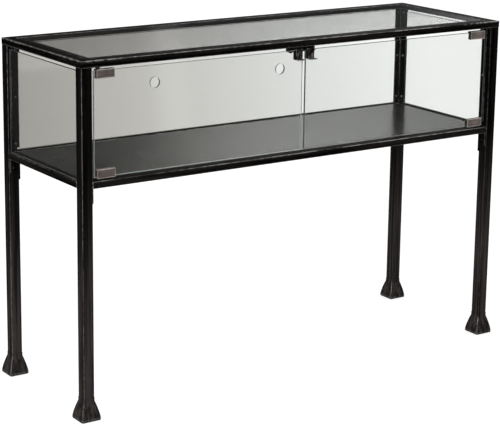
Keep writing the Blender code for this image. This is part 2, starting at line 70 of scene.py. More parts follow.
# %% [markdown]
# ## The camera
#
# The picture was taken from the left, from above the glass top, with a long lens that
# was shifted down, so its axis meets the picture above the middle. The upright legs stay
# almost parallel, because the camera is turned down only a little and the shift does
# the rest.

# %% Place the camera
picture_width = 500
picture_height = 431
focal_pixels = 1730.354
axis_pixel = (222, 160)
camera_yaw = 0.58358
camera_pitch = 0.22856
camera_roll = 0.00999
camera_place = (-2.19089, -3.16778, 1.35425)
sensor_width = 36
far_limit = 100

lens = bpy.data.cameras.new("camera")
lens.sensor_width = sensor_width
lens.lens = lens.sensor_width * focal_pixels / picture_width
lens.shift_x = (picture_width / 2 - axis_pixel[0]) / picture_width
lens.shift_y = (axis_pixel[1] - picture_height / 2) / picture_width
lens.clip_end = far_limit
camera = bpy.data.objects.new("camera", lens)
ahead = Vector((math.sin(camera_yaw) * math.cos(camera_pitch),
                math.cos(camera_yaw) * math.cos(camera_pitch), -math.sin(camera_pitch)))
sideways = Vector((math.cos(camera_yaw), -math.sin(camera_yaw), 0))
upward = sideways.cross(ahead)
right = sideways * math.cos(camera_roll) + upward * math.sin(camera_roll)
upward = upward * math.cos(camera_roll) - sideways * math.sin(camera_roll)
camera.matrix_world = Matrix((right, upward, -ahead)).transposed().to_4x4()
camera.location = camera_place
bpy.context.scene.collection.objects.link(camera)
bpy.context.scene.camera = camera
bpy.context.scene.view_settings.view_transform = "Standard"
print("lens, mm:", round(lens.lens, 1))

# %% [markdown]
# ## Sums in the shader
#
# A worn edge is a sum: how far is this point from the edge, and how strong is the noise
# here? Math nodes can be wired by hand, but the wiring hides the sum. A small class
# that wraps a socket lets Python's own + and * add the nodes, so a finish reads as a
# formula.

# %% A field: a value that changes over a surface
class Field:
    """One output socket; arithmetic on it adds Math nodes."""

    def __init__(self, net, socket):
        self.net = net
        self.socket = socket

    def maths(self, operation, *others):
        inputs = dict(enumerate((self, *others)))
        return self.net.node("Math", {"operation": operation}, inputs)

    def __add__(self, other):
        return self.maths("ADD", other)

    def __mul__(self, other):
        return self.maths("MULTIPLY", other)

    def __sub__(self, other):
        return self.maths("SUBTRACT", other)

    def __rsub__(self, other):
        return self.net.node("Math", {"operation": "SUBTRACT"}, {0: other, 1: self})

    def __abs__(self):
        return self.maths("ABSOLUTE")

    __radd__ = __add__
    __rmul__ = __mul__

    def least(self, other):
        return self.maths("MINIMUM", other)

    def most(self, other):
        return self.maths("MAXIMUM", other)

    def rising(self, low, high, top=1.0):
        """0 below low and top above high, with a soft step between."""
        return self.net.node("MapRange", {"interpolation_type": "SMOOTHSTEP"},
                             {0: self, 1: low, 2: high, 3: 0.0, 4: top})


# %% A net: the nodes of one material
class Net:
    """A material's or world's node tree; node() adds any node and returns one output."""

    def __init__(self, tree, end="OutputMaterial"):
        self.tree = tree
        self.end = end
        tree.nodes.clear()

    def node(self, kind, settings=None, inputs=None, output=0):
        made = self.tree.nodes.new("ShaderNode" + kind)
        for name, value in (settings or {}).items():
            setattr(made, name, value)
        for name, value in (inputs or {}).items():
            if isinstance(value, Field):
                self.tree.links.new(value.socket, made.inputs[name])
            else:
                made.inputs[name].default_value = value
        return Field(self, made.outputs[output]) if made.outputs else made

    def place(self):
        """The point being shaded, in the piece's own frame."""
        return self.node("TexCoord", output="Object")

    def axes(self, vector):
        parts = self.node("SeparateXYZ", inputs={0: vector}).socket.node
        return [Field(self, socket) for socket in parts.outputs]

    def facing(self):
        """Where the face points, in the piece's own frame, so that it turns with a door."""
        turn = {"vector_type": "NORMAL", "convert_from": "WORLD", "convert_to": "OBJECT"}
        normal = self.node("NewGeometry", output="True Normal")
        return self.axes(self.node("VectorTransform", turn, {0: normal}))

    def noise(self, place, scales, detail=3.0, rough=0.5):
        """Noise from 0 to 1, stretched by a scale on each axis."""
        multiply = {"operation": "MULTIPLY"}
        stretched = self.node("VectorMath", multiply, {0: place, 1: scales})
        return self.node("TexNoise", None, {"Vector": stretched, "Scale": 1.0,
                                            "Detail": detail, "Roughness": rough})

    def blend(self, share, first, second):
        """A colour between two others."""
        return self.node("Mix", {"data_type": "RGBA"}, {0: share, 6: first, 7: second}, 2)

    def level(self, share, first, second):
        """A number between two others."""
        return self.node("Mix", {"data_type": "FLOAT"}, {0: share, 2: first, 3: second})

    def rays(self):
        """Whether the ray comes from the camera, a gloss or through glass."""
        path = self.node("LightPath").socket.node
        return [Field(self, path.outputs[name])
                for name in ("Is Camera Ray", "Is Glossy Ray", "Is Transmission Ray")]

    def bump(self, height, depth):
        return self.node("Bump", None,
                         {"Height": height, "Distance": depth, "Strength": 1.0})

    def shader(self, **sockets):
        """A Principled shader; underscores in a name stand for spaces."""
        named = {name.replace("_", " "): value for name, value in sockets.items()}
        return self.node("BsdfPrincipled", inputs=named)

    def finish(self, surface):
        self.node(self.end, inputs={"Surface": surface})


def finish_named(name, painter, *details):
    """A new material, painted by a function that takes its net."""
    made = bpy.data.materials.new(name)
    made.use_nodes = True
    painter(Net(made.node_tree), *details)
    print(name, "nodes:", len(made.node_tree.nodes))
    return made


def grey(value):
    return (value, value, value, 1.0)


# %% [markdown]
# ## The studio
#
# Glass and polished steel show the room more than themselves. The room here is pale,
# dimmer at the left behind the table and brighter at the right, as the grey that shows
# through the panes tells. A ray that goes straight through the glass meets that backdrop,
# and one that was mirrored on its way meets a darker room. The camera sees plain white,
# and diffuse light comes evenly from everywhere.
#
# The sums work on a ray's direction: x is how far it points to the right, y how far back
# and z how far up. Their numbers were set against the tones in the glass.

# %% What glass and gloss meet
even_level = 0.55
front_level = 0.8
darkest_wall, brightest_wall = 0.45, 1.2
warm_left = (1.0, 0.966, 0.93, 1.0)
cool_right = (0.985, 1.0, 1.0, 1.0)


def backdrop_level(x, y, z, stripe):
    """The paper behind the table: it brightens to the right, most in its upper part."""
    slope = (x * 3.75 - 1.195).most(x * 2.2 - 0.43)
    wall = slope.most(darkest_wall).least(brightest_wall) + stripe * 0.06
    above_fold = (z + y * 0.2).rising(-0.003, 0.002)
    return wall * (1.0 + above_fold * (0.16 + (x - 0.47).most(0.0) * 4.2))


def mirrored_level(x, z, stripe, behind):
    """The darker room that shiny faces mirror: floor, wall, ceiling and the roof light."""
    low = 1.0 - z.rising(0.02, 0.12)
    high = z.rising(0.178, 0.212)
    floor_tone = 0.05 + x.rising(0.42, 0.62) * 0.34
    wall_tone = 0.03 + stripe * 0.05 + x.rising(0.62, 0.67) * 0.17
    ceiling_tone = 0.09 + x.rising(0.475, 0.56) * (1.48 - x.rising(0.60, 0.66) * 0.80)
    upper = wall_tone * (1.0 - high) + ceiling_tone * high
    far_side = floor_tone * low + (1.0 - low) * upper
    roof_light = z.rising(0.40, 0.70) * (0.30 + x.rising(0.44, 0.56) * 0.60)
    return (far_side * behind + (1.0 - behind) * 0.03).most(roof_light)


# %% The room's light
def paint_room(net):
    x, y, z = net.axes(net.node("TexCoord", output="Generated"))
    stripe = 1.0 - abs(x - 0.5165).rising(0.002, 0.013)
    behind = y.rising(-0.2, 0.3)
    mirrored = mirrored_level(x, z, stripe, behind)
    through = net.level(behind, front_level, backdrop_level(x, y, z, stripe))
    straight = 1.0 - net.node("LightPath", output="Glossy Depth").rising(0.2, 0.8)
    is_camera, is_glossy, is_through = net.rays()
    strength = net.level(is_glossy, even_level, mirrored)
    strength = net.level(is_through, strength, net.level(straight, mirrored, through))
    strength = net.level(is_camera, strength, 1.0)
    tone = net.blend(x.rising(0.45, 0.60), warm_left, cool_right)
    tone = net.blend(is_glossy.most(is_through), grey(1.0), tone)
    net.finish(net.node("Background", inputs={"Color": tone, "Strength": strength}))


studio = bpy.data.worlds.new("studio")
studio.use_nodes = True
paint_room(Net(studio.node_tree, "OutputWorld"))
bpy.context.scene.world = studio
print("room, nodes:", len(studio.node_tree.nodes))


# %% [markdown]
# Two soft boxes do the modelling: a large one above the camera, and a tall one at the
# left whose long reflection gives the left faces of the legs a faint sheen.

# %% Soft boxes
def soft_box(name, place, aim, width, height, watts):
    light = bpy.data.lights.new(name, "AREA")
    light.shape = "RECTANGLE"
    light.size = width
    light.size_y = height
    light.energy = watts
    lamp = bpy.data.objects.new(name, light)
    lamp.location = place
    lamp.rotation_euler = (Vector(aim) - Vector(place)).to_track_quat("-Z", "Y").to_euler()
    bpy.context.scene.collection.objects.link(lamp)
    print(name, "watts:", watts)


case_floor = (0, 0, 0.5)
soft_box("key_box", (-1.6, -2.6, 2.6), case_floor, width=1.8, height=1.4, watts=38)
soft_box("side_box", (-2.8, 0.2, 1.1), case_floor, width=1.0, height=1.8, watts=16)


# %% [markdown]
# The floor is a pale sheet. It keeps the table's soft shadow, and adds enough light of
# its own, for the camera only, to come out white. Rays from glass and metal pass it,
# so they meet the room's tone below the horizon too.

# %% The floor
floor_size = 14
floor_drop = 0.0005
paper_tone = grey(0.8)
paper_glow = 0.62


def paint_floor(net):
    is_camera, is_glossy, is_through = net.rays()
    matt = net.node("BsdfDiffuse", inputs={"Color": paper_tone})
    own_light = is_camera * paper_glow
    glow = net.node("Emission", inputs={"Color": grey(1.0), "Strength": own_light})
    lit = net.node("AddShader", inputs={0: matt, 1: glow})
    clear = net.node("BsdfTransparent")
    passed = is_glossy.most(is_through)
    net.finish(net.node("MixShader", inputs={0: passed, 1: lit, 2: clear}))


sheet = bpy.data.meshes.new("floor")
floor_corners = [(x * floor_size / 2, y * floor_size / 2, -floor_drop)
                 for x, y in ((-1, -1), (1, -1), (1, 1), (-1, 1))]
sheet.from_pydata(floor_corners, [], [(0, 1, 2, 3)])
floor = bpy.data.objects.new("floor", sheet)
sheet.materials.append(finish_named("pale_floor", paint_floor))
bpy.context.scene.collection.objects.link(floor)
print("floor, m:", floor_size)

# %% [markdown]
# ## Worn black steel
#
# The maker blackens the steel and then rubs the edges until the silver shows. A wear mask
# is often painted by hand or read from the curvature of a dense mesh. These bars are
# plain boxes in known places, so the distance from the nearest edge is a short sum in
# the piece's coordinates, and it stays sharp at any size.

# %% Distance from the edges of each bar
lip_height = 0.0045
leg_sharpness = 1.5


def edge_gap(first, second, third):
    """Distance from a box's nearest edge: the middle one of its gaps to the faces."""
    return 0.0 - first.least(second).most(first.most(second).least(third))


def box_edges(net, place, low, high):
    """How far a point on a box is from its nearest edge."""
    middle = (low + high) / 2
    half = (high - low) / 2
    return edge_gap(*(abs(part - middle[axis]) - half[axis]
                      for axis, part in enumerate(net.axes(place))))


def leg_edges(net, place):
    """How far a point on a leg or foot is from the leg's upright edges, made sharper."""
    x, y, _ = net.axes(place)
    across = abs(abs(x) - leg_centre.x)
    along = abs(abs(y) + leg_centre.y)
    return abs(across - along) * leg_sharpness


def foot_edges(net, place):
    """The same, and how far it is from the rim round the foot's lip."""
    _, _, z = net.axes(place)
    return leg_edges(net, place).least(abs(z - lip_height))


def rail_edges(net, place, lengthwise, middle):
    """How far a point on a rail is from its long edges."""
    x, y, z = net.axes(place)
    outward = abs(y) - outer_y if lengthwise else abs(x) - outer_x
    inner = abs(outward + tube)
    from_lip = 0.0 - (abs(z - middle) - rail_half)
    return (0.0 - outward).least(inner).most(from_lip)


# %% [markdown]
# The wear is strongest on the edge and is broken up by noise that is stretched along the
# bar, because the maker rubs lengthwise. A few hairline scratches cross the faces, and
# small chips lie near the edges. The mitres of the top are ground flush, and there the
# silver is widest. One number, from 0 for patina to 1 for bare steel, holds all of it.

# %% Where the steel is worn
rail_patina = ((0.020, 0.019, 0.018, 1.0), (0.20, 0.175, 0.16, 1.0))
leg_patina = ((0.030, 0.0275, 0.0265, 1.0), (0.130, 0.112, 0.105, 1.0))
bare_steel = (0.78, 0.75, 0.72, 1.0)
black = grey(0.0)
edge_width = (0.0006, 0.0018)
edge_surroundings = (0.001, 0.007)
mitre_width = (0.0014, 0.0034)
mitre_reach = (0.04, 0.16)
floor_light_heights = (0.14, 0.56)
floor_light_least = 0.14
speck_scale = (420.0, 420.0, 420.0)
break_scale = (70.0, 70.0, 70.0)
fine_from = 50
broadest_patch = 6.0
steel_relief = 0.00007


def worn_share(net, place, distance, rub, patches, streaks, fine, specks):
    """How bare the steel is: its edges, scratches, chips and ground mitres."""
    breaks = net.noise(place, break_scale, 3.0, 0.6)
    on_edge = 1.0 - distance.rising(*edge_width)
    near_edge = 1.0 - distance.rising(*edge_surroundings)
    rubbed = (patches * 1.2 + streaks * 0.8 - 0.62).rising(0.16, 0.56)
    broken = 0.35 + breaks.rising(0.42, 0.56, 0.75)
    edge_wear = on_edge * (0.12 + rubbed * 0.88) * broken * rub
    scratches = fine.rising(0.66, 0.76, 0.22) * streaks.rising(0.48, 0.64)
    chips = specks.rising(0.66, 0.72, 0.75) * near_edge * patches.rising(0.48, 0.62)
    wear = edge_wear.most(scratches * (0.3 + near_edge * 0.7)).most(chips * rub)
    x, y, z = net.axes(place)
    from_corner = (outer_x - abs(x)) + (outer_y - abs(y))
    at_mitre = (1.0 - from_corner.rising(*mitre_reach)) * z.rising(top_middle, top_high.z)
    ground_flush = (1.0 - distance.rising(*mitre_width)) * breaks.rising(0.46, 0.56, 0.9)
    return wear.most(ground_flush * at_mitre * rub)


# %% [markdown]
# Broad bands and finer streaks make the brown-black patina uneven. It is painted nearly
# black up on the case and paler and browner towards the floor, a painted stand-in for the
# light the floor sends up, so its colour depends on the height as well. It is oxide and
# wax, only partly metallic, so the Metallic value rises with the wear.

# %% The steel's finish
def paint_worn_steel(net, edges, grain, patina, rub, *details):
    """Bare steel where it is worn, over a patina in bands and streaks along the grain,
    painted paler towards the floor.
    """
    place = net.place()
    band_grain = [scale * (0.55 if scale > fine_from else 0.3) for scale in grain]
    bands = net.noise(place, band_grain, 2.0)
    patches = net.noise(place, [max(broadest_patch, 0.10 * scale) for scale in grain], 2.0)
    streaks = net.noise(place, grain, 4.0, 0.6)
    fine = net.noise(place, [3.0 * scale for scale in grain], 2.0)
    specks = net.noise(place, speck_scale, 2.0)
    distance = edges(net, place, *details)
    wear = worn_share(net, place, distance, rub, patches, streaks, fine, specks)
    # Painted light: the patina is blended towards black higher up and left paler near the
    # floor, standing in for light bounced from the floor.
    lowness = 1.0 - net.axes(place)[2].rising(*floor_light_heights)
    painted_floor_light = floor_light_least + lowness * (1.0 - floor_light_least)
    base = net.blend((bands * 0.5 + streaks * 0.5).rising(0.38, 0.64), *patina)
    base = net.blend(painted_floor_light, black, base)
    height = streaks * 0.5 + fine * 0.3 + specks * 0.2 - wear * 0.4
    net.finish(net.shader(Base_Color=net.blend(wear, base, bare_steel),
                          Metallic=0.6 + wear * 0.4,
                          Roughness=0.28 + bands * 0.18 + wear * 0.04,
                          Specular_IOR_Level=0.05, Specular_Tint=grey(0.20),
                          Normal=net.bump(height, steel_relief)))


# %% [markdown]
# The grain follows each bar, so uprights, long rails and short rails have finishes of
# their own. The left legs are rubbed more than the right ones. The brackets and strips
# are small angles, and each takes its edges from its own box.

# %% Dress the frame
upright_grain = (230.0, 230.0, 7.0)
long_grain = (7.0, 230.0, 230.0)
short_grain = (230.0, 7.0, 230.0)


def steel(name, edges, grain, patina, rub, *details):
    return finish_named(name, paint_worn_steel, edges, grain, patina, rub, *details)


angle_rub = 0.5
steel_of = {}
for part, finish, edges, rub in (("leg_right", "right", leg_edges, 0.20),
                                 ("leg_rear_left", "rear", leg_edges, 0.50),
                                 ("leg_front_left", "front", leg_edges, 1.10),
                                 ("foot", "feet", foot_edges, 0.40)):
    steel_of[part] = steel("worn_steel_" + finish, edges, upright_grain, leg_patina, rub)
for part, grain, rub, lengthwise, middle in (
        ("top_long", long_grain, 1.25, True, top_middle),
        ("top_short", short_grain, 1.25, False, top_middle),
        ("shelf_long", long_grain, 1.35, True, shelf_middle),
        ("shelf_short", short_grain, 0.60, False, shelf_middle)):
    steel_of[part] = steel("worn_steel_" + part, rail_edges, grain, rail_patina, rub,
                           lengthwise, middle)


def dress(name, material):
    """Gives a CAD node its finish."""
    mesh = nodes[name].data
    mesh.materials.clear()
    mesh.materials.append(material)


for name in nodes:
    kind, _, side = name.partition("_rail_")
    if side:
        dress(name, steel_of[kind + ("_long" if side in ("front", "rear") else "_short")])
    elif name.startswith("foot_"):
        dress(name, steel_of["foot"])
    elif name.startswith(("leg_bracket_", "corner_strip_")):
        dress(name, steel(name + "_steel", box_edges, upright_grain, leg_patina, angle_rub,
                          *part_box(name)))
    elif name.startswith("leg_"):
        dress(name, steel_of.get(name, steel_of["leg_right"]))
print("shared steel finishes:", len(steel_of))

# %% [markdown]
# ## The case's floor
#
# The sheet has the same blackening, waxed to a soft shine. Its colour is blotchy where the
# wax lies thicker, and faint rubbing marks run along it, so roughness and colour both
# follow slow noise.

# %% Waxed sheet
thick_wax = (0.020, 0.020, 0.019, 1.0)
thin_wax = (0.040, 0.040, 0.038, 1.0)
smudge_tone = (0.08, 0.08, 0.076, 1.0)
scuff_tone = (0.30, 0.29, 0.27, 1.0)
wax_relief = 0.00001


def paint_waxed_sheet(net):
    place = net.place()
    clouds = net.noise(place, (7.0, 9.0, 9.0), 4.0, 0.6)
    rubbing = net.noise(place, (14.0, 260.0, 60.0), 4.0, 0.6)
    smudges = net.noise(place, (38.0, 30.0, 30.0), 3.0)
    scuffs = net.noise(place, (150.0, 60.0, 60.0), 2.0)
    marks = smudges.rising(0.60, 0.72, 0.5) * scuffs.rising(0.55, 0.68)
    colour = net.blend(clouds.rising(0.3, 0.7), thick_wax, thin_wax)
    colour = net.blend(smudges.rising(0.62, 0.80, 0.35), colour, smudge_tone)
    colour = net.blend(marks, colour, scuff_tone)
    net.finish(net.shader(Base_Color=colour, Metallic=0.0,
                          Roughness=0.17 + clouds * 0.06 + rubbing * 0.03,
                          Specular_IOR_Level=0.9,
                          Normal=net.bump(rubbing * 0.3 + clouds, wax_relief)))


dress("shelf_panel", finish_named("waxed_sheet", paint_waxed_sheet))

# %% [markdown]
# ## Glass
#
# A pane is a thin box, and Cycles bends the light at both faces. Two things sell it: the
# ground edges, which are matt and painted with light and shade, pale with a faint painted
# glow where they face down, dark from the side, and painted brightest as a highlight on the
# left door's end, and lamps that still reach what stands behind. The edge is found from the
# direction the face points in, taken in the pane's own frame so that it stays right when a
# door turns. A Transparent shader takes over for rays that go to a lamp.

# %% Panes
glass_index = 1.5
painted_edge_glow = 0.30
frost_relief = 0.00004
shadow_tint = (0.86, 0.88, 0.87, 1.0)


def paint_pane(net, axis, body, edge):
    """Glass on the two large faces, across one axis, and a ground finish on the edges,
    painted lighter or darker by the way each edge faces.
    """
    place = net.place()
    normal = net.facing()
    on_edge = 1.0 - abs(normal[axis]).rising(0.93, 0.99)
    smears = net.noise(place, (6.0, 6.0, 9.0), 3.0, 0.6)
    glass = net.shader(Base_Color=body, Metallic=0.0, IOR=glass_index,
                       Transmission_Weight=1.0, Roughness=smears.rising(0.55, 0.85, 0.006))
    frost = net.noise(place, (90.0, 90.0, 90.0), 3.0, 0.6)
    # Painted light: edges facing down are painted pale and given a faint glow, as if lit
    # from the floor; side edges keep the darker painted shade tone.
    downward_lit = (0.0 - normal[2]).rising(0.5, 0.9)
    ground = net.shader(Base_Color=net.blend(downward_lit * (0.7 + frost * 0.3), *edge),
                        Metallic=0.0, Roughness=0.5 + frost * 0.2,
                        Emission_Color=net.blend(downward_lit, black, edge[1]),
                        Emission_Strength=painted_edge_glow, Normal=net.bump(frost, frost_relief))
    pane = net.node("MixShader", inputs={0: on_edge, 1: glass, 2: ground})
    shadow = net.node("LightPath", output="Is Shadow Ray")
    clear = net.node("BsdfTransparent", inputs={"Color": shadow_tint})
    net.finish(net.node("MixShader", inputs={0: shadow, 1: pane, 2: clear}))


# Each pair is a painted shade tone for side edges and a painted light tone for edges facing
# down; the left door's end is painted brighter as a highlight, the top's hidden edges
# nearly black as shade.
edge_shade_and_light = ((0.10, 0.118, 0.112, 1.0), (0.90, 0.92, 0.90, 1.0))
highlit_door_edge = ((0.50, 0.56, 0.53, 1.0), (0.90, 0.92, 0.90, 1.0))
shaded_hidden_edge = ((0.010, 0.012, 0.011, 1.0),) * 2
pane_body = (0.935, 0.94, 0.925, 1.0)
thin_body = (0.985, 0.99, 0.98, 1.0)
pane_kinds = {
    "flat": finish_named("glass_flat", paint_pane, 2, thin_body, shaded_hidden_edge),
    "lengthwise": finish_named("glass_lengthwise", paint_pane, 1, pane_body, edge_shade_and_light),
    "crosswise": finish_named("glass_crosswise", paint_pane, 0, pane_body, edge_shade_and_light),
    "left_door": finish_named("glass_left_door", paint_pane, 1, pane_body, highlit_door_edge),
}
for name, kind in (("top_glass", "flat"), ("rear_glass", "lengthwise"),
                   ("side_glass_left", "crosswise"), ("side_glass_right", "crosswise"),
                   ("left_door_glass", "left_door"), ("right_door_glass", "lengthwise")):
    dress(name, pane_kinds[kind])

# %% [markdown]
# ## Clips, pins and catch
#
# The hinge clips are plated in a dark, brownish nickel and brushed along their length, the
# right door's painted paler than the left one's, standing in for stronger light there. The
# pull clips are black and scratched. Fingers rub the edges of both, and those edges are
# also painted pale as a highlight, so the sum that finds a bar's edges is used again on
# each clip's own box. The side ends of each clip are painted near-black as shade.

# %% A brushed finish
painted_shade_tone = (0.002, 0.002, 0.002, 1.0)
rubbed_glint_width = (0.0008, 0.0024)
brush_relief = 0.00003


def paint_brushed(net, dark, pale, grain, roughness, metallic=1.0, box=None, glint=None,
                  steps=(0.3, 0.7)):
    """Fine lines along the grain; a box and a glint colour add rubbed edges painted pale as
    a highlight, and side ends painted dark as shade.
    """
    place = net.place()
    lines = net.noise(place, grain, 3.0, 0.6)
    clouds = net.noise(place, (60.0, 60.0, 60.0), 2.0)
    colour = net.blend((lines * 0.6 + clouds * 0.4).rising(*steps), dark, pale)
    if box:
        # Painted shade: faces that point along x, the clip's side ends, go near-black.
        # Painted highlight: the box's edges take the pale glint colour.
        end = abs(net.facing()[0]).rising(0.75, 0.95)
        colour = net.blend(end, colour, painted_shade_tone)
        metallic = (1.0 - end) * metallic
        rubbed = 1.0 - box_edges(net, place, *box).rising(*rubbed_glint_width)
        colour = net.blend(rubbed * (0.55 + clouds.rising(0.35, 0.65, 0.45)) * (1.0 - end),
                           colour, glint)
    net.finish(net.shader(Base_Color=colour, Metallic=metallic,
                          Roughness=roughness + lines * 0.12,
                          Normal=net.bump(lines, brush_relief)))


# %% The clips
nickel_tones = ((0.11, 0.090, 0.080, 1.0), (0.24, 0.195, 0.175, 1.0))
nickel_glint = (0.85, 0.78, 0.74, 1.0)
nickel_grain = (40.0, 500.0, 500.0)
black_tones = ((0.004, 0.004, 0.004, 1.0), (0.260, 0.240, 0.228, 1.0))
black_glint = (0.85, 0.81, 0.79, 1.0)
scratch_grain = (330.0, 330.0, 60.0)
scratch_steps = (0.47, 0.60)
nickel_roughness = 0.34
black_roughness = 0.36
clip_metallic = 0.4
right_painted_light = 1.5

for name in nodes:
    if "hinge_clip" in name:
        # Painted light: the right door's clips get a paler copy of the nickel for the
        # stronger light on that side.
        painted_lightness = right_painted_light if "right" in name else 1.0
        tones = [tuple(painted_lightness * part for part in tone) for tone in nickel_tones]
        dress(name, finish_named(name + "_nickel", paint_brushed, *tones, nickel_grain,
                                 nickel_roughness, clip_metallic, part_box(name),
                                 nickel_glint))
    elif "pull_clip" in name:
        dress(name, finish_named(name + "_black", paint_brushed, *black_tones,
                                 scratch_grain, black_roughness, clip_metallic,
                                 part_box(name), black_glint, scratch_steps))


# %% [markdown]
# The pins are turned steel, the screws zinc or black oxide, the bushes and the catch's
# housing moulded, and its magnets ceramic. Each is only a few pixels wide in the
# picture, so a dark tone, a pale tone and a fine grain are enough.

# %% Pins, screws and catch
def small_metal(name, dark, pale, grain, *details):
    return finish_named(name, paint_brushed, (*dark, 1.0), (*pale, 1.0), grain, *details)


zinc = small_metal("zinc", (0.16, 0.16, 0.155), (0.40, 0.39, 0.38), (700.0,) * 3, 0.28)
turned_steel = small_metal("turned_steel", (0.30, 0.29, 0.28), (0.52, 0.51, 0.49),
                           (200.0, 200.0, 2400.0), 0.24)
black_oxide = small_metal("black_oxide", (0.014, 0.013, 0.013), (0.060, 0.057, 0.055),
                          (500.0,) * 3, 0.30)
moulded_black = small_metal("moulded_black", (0.004,) * 3, (0.008,) * 3, (1500.0,) * 3,
                            0.60, 0.0)
ceramic_magnet = small_metal("ceramic_magnet", (0.05,) * 3, (0.10,) * 3,
                             (600.0, 600.0, 90.0), 0.42, 0.3)
for part, material in (("pivot_pin", turned_steel), ("bracket_bolt", black_oxide),
                       ("clip_screw", black_oxide), ("catch_screw", black_oxide),
                       ("pivot_bush", moulded_black), ("catch_housing", moulded_black),
                       ("catch_magnet", ceramic_magnet)):
    dressed = [name for name in nodes if part in name]
    for name in dressed:
        dress(name, material)
    print(part, "pieces:", len(dressed))

# %% [markdown]
# ## Pieces that repeat
#
# Two dozen small screws hold the corner strips, and short beads of weld run round the
# joints. Both are the same little shape put down many times, which is what Geometry
# Nodes are for. Each tree takes points and a shape, puts one at each point, makes the
# copies real and gives them their material.

# %% A tree that puts a shape at each point
def scatter_tree(name, material):
    """A tree with named inputs: the shape, the spread of its size, and a seed."""
    tree = bpy.data.node_groups.new(name, "GeometryNodeTree")
    for label, side, kind in (
            ("Geometry", "INPUT", "Geometry"), ("Shape", "INPUT", "Object"),
            ("Smallest", "INPUT", "Float"), ("Largest", "INPUT", "Float"),
            ("Seed", "INPUT", "Int"), ("Geometry", "OUTPUT", "Geometry")):
        tree.interface.new_socket(label, in_out=side, socket_type="NodeSocket" + kind)
    add = tree.nodes.new
    link = tree.links.new
    given = add("NodeGroupInput")
    shape = add("GeometryNodeObjectInfo")
    aim = add("GeometryNodeInputNamedAttribute")
    aim.data_type = "FLOAT_VECTOR"
    aim.inputs["Name"].default_value = "aim"
    turn = add("FunctionNodeAlignRotationToVector")
    turn.axis = "Z"
    size = add("FunctionNodeRandomValue")
    put = add("GeometryNodeInstanceOnPoints")
    real = add("GeometryNodeRealizeInstances")
    paint = add("GeometryNodeSetMaterial")
    paint.inputs["Material"].default_value = material
    result = add("NodeGroupOutput")
    link(given.outputs["Shape"], shape.inputs["Object"])
    link(aim.outputs["Attribute"], turn.inputs["Vector"])
    link(given.outputs["Smallest"], size.inputs[2])
    link(given.outputs["Largest"], size.inputs[3])
    link(given.outputs["Seed"], size.inputs["Seed"])
    link(given.outputs["Geometry"], put.inputs["Points"])
    link(shape.outputs["Geometry"], put.inputs["Instance"])
    link(turn.outputs["Rotation"], put.inputs["Rotation"])
    link(size.outputs[1], put.inputs["Scale"])
    link(put.outputs["Instances"], real.inputs["Geometry"])
    link(real.outputs["Geometry"], paint.inputs["Geometry"])
    link(paint.outputs["Geometry"], result.inputs["Geometry"])
    return tree


# %% Run a tree and keep its plain mesh
def scattered(name, points, aims, shape, material, spread=(1.0, 1.0), seed=1):
    """One piece on the frame: the shape at each point, with its +Z along an aim."""
    mesh = bpy.data.meshes.new(name)
    mesh.from_pydata([tuple(point) for point in points], [], [])
    directions = mesh.attributes.new("aim", "FLOAT_VECTOR", "POINT")
    directions.data.foreach_set("vector", [value for aim in aims for value in aim])
    piece = bpy.data.objects.new(name, mesh)
    bpy.context.scene.collection.objects.link(piece)
    modifier = piece.modifiers.new("scatter", "NODES")
    modifier.node_group = scatter_tree(name, material)
    given = {"Shape": shape, "Smallest": spread[0], "Largest": spread[1], "Seed": seed}
    for item in modifier.node_group.interface.items_tree:
        if item.in_out == "INPUT" and item.name in given:
            modifier[item.identifier] = given[item.name]
    graph = bpy.context.evaluated_depsgraph_get()
    plain = bpy.data.meshes.new_from_object(piece.evaluated_get(graph))
    piece.modifiers.clear()
    piece.data = plain
    bpy.data.objects.remove(shape)
    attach(piece, "frame")
    print(name, "faces:", len(plain.polygons))


# %% [markdown]
# ### Screws
#
# A pan-head screw is a low dome with a cross in it. The head is turned from a short
# profile of rings. The cross is four narrow dents round a sunk middle, made by lowering
# four points of the innermost ring. The strips already have their holes, and the heads
# sit on the strips' faces.

# %% The screw's head and shank
head_radius = 0.0032
head_height = 0.0018
shank_radius = 0.0015
shank_length = 0.0060
seat = 0.0003
screw_sides = 24
dome_rings = [(0.35, 1.00), (0.62, 0.96), (0.86, 0.78), (1.0, 0.40), (1.0, 0.0)]
cross_reach = 0.5
cross_width = 0.94
cross_height = 0.55
cross_middle = 0.45


def screw_shape():
    """A screw with its seat at z = 0 and its head towards +Z."""
    sides = screw_sides
    turns = [2 * math.pi * side / sides for side in range(sides)]
    mesh = bmesh.new()
    loops = []
    for share, lift in dome_rings:
        loop = []
        for turn in turns:
            arm = abs(math.cos(2 * turn)) > cross_width and share < cross_reach
            loop.append(mesh.verts.new((head_radius * share * math.cos(turn),
                                        head_radius * share * math.sin(turn),
                                        head_height * (cross_height if arm else lift))))
        loops.append(loop)
    for depth in (0.0, -shank_length):
        loops.append([mesh.verts.new((shank_radius * math.cos(turn),
                                      shank_radius * math.sin(turn), depth))
                      for turn in turns])
    for upper, lower in zip(loops, loops[1:]):
        for side in range(sides):
            beside = (side + 1) % sides
            mesh.faces.new((upper[side], lower[side], lower[beside], upper[beside]))
    middle = mesh.verts.new((0, 0, head_height * cross_middle))
    for side in range(sides):
        mesh.faces.new((middle, loops[0][side], loops[0][(side + 1) % sides]))
    mesh.faces.new(loops[-1])
    bmesh.ops.recalc_face_normals(mesh, faces=mesh.faces[:])
    data = bpy.data.meshes.new("screw")
    mesh.to_mesh(data)
    mesh.free()
    shape = bpy.data.objects.new("screw", data)
    bpy.context.scene.collection.objects.link(shape)
    return shape


# %% Where the screws go
strip_low, strip_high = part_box("corner_strip_front_right")
flange = strip_high.x - strip_low.x
screw_inset = 0.009
screw_rows = 3
strip_face = leg_centre.x - strip_low.x
flange_middle = strip_face - flange / 2 + seat

